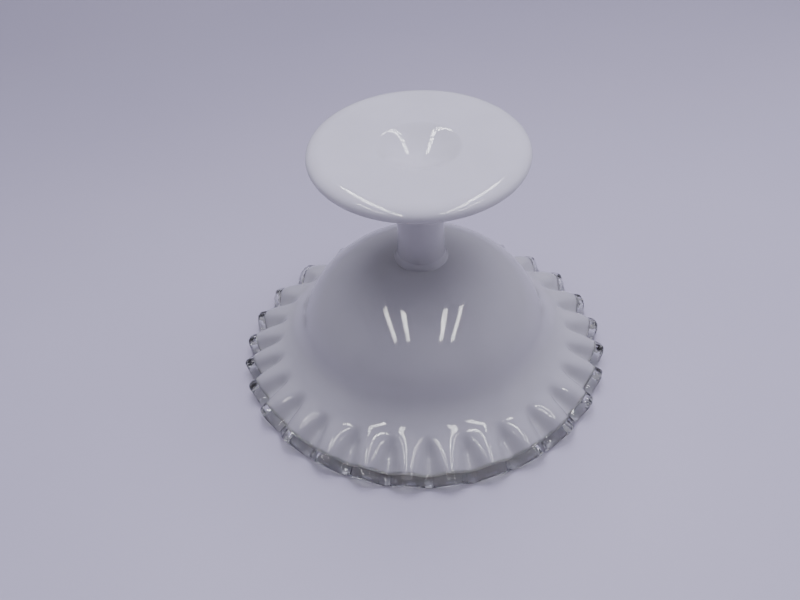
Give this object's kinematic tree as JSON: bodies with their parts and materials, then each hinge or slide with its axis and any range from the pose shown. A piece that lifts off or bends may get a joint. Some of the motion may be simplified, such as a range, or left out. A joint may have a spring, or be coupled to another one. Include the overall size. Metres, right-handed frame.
{
  "type": "footed glass compote",
  "caption": "Opaque white glass footed bowl with a crimped skirt and a clear glass edge, on a round stem and a disc foot, stored upside down on its rim.",
  "frame": {"origin": "centre of the rim, on the surface that the crimped rim rests on; the foot is uppermost, so for use the part is turned half a turn about X or Y", "axes": "+Z is the axis of the bowl, stem and foot, from the rim up to the face that the foot rests on in use; X and Y are level, with the side shown in the main view towards -Y"},
  "size_m": [0.1781, 0.178, 0.127],
  "materials": {
    "milk_glass": "gloss",
    "clear_glass": "gloss"
  },
  "bodies": {
    "root": {"rim_crest": "clear_glass", "bowl": "milk_glass", "joining_wafer": "milk_glass", "stem": "milk_glass", "foot": "milk_glass"}
  },
  "joints": []
}
